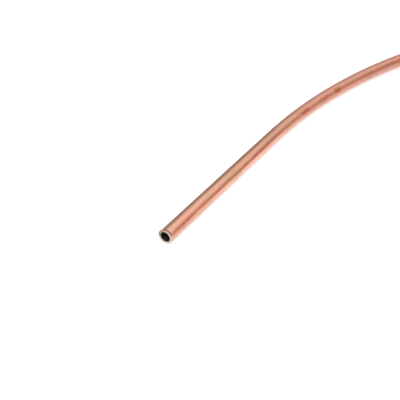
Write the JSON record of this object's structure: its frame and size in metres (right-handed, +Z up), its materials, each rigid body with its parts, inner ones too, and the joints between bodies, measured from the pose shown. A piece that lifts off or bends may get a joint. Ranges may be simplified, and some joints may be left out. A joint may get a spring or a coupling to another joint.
{
  "type": "coil of brake line tubing",
  "caption": "Small-bore metal tube wound into a flat-lying coil of level turns, with a straight free end drawn out sideways from the bottom turn.",
  "frame": {"origin": "on the coil's axis at floor level", "axes": "+Z up along the coil's axis; the free end points along -Y and lies on the -X side of the coil"},
  "size_m": [0.3283, 0.2856, 0.0449],
  "materials": {
    "tube_metal": "satin"
  },
  "bodies": {
    "root": {"brake_line_tube": "tube_metal"}
  },
  "joints": []
}
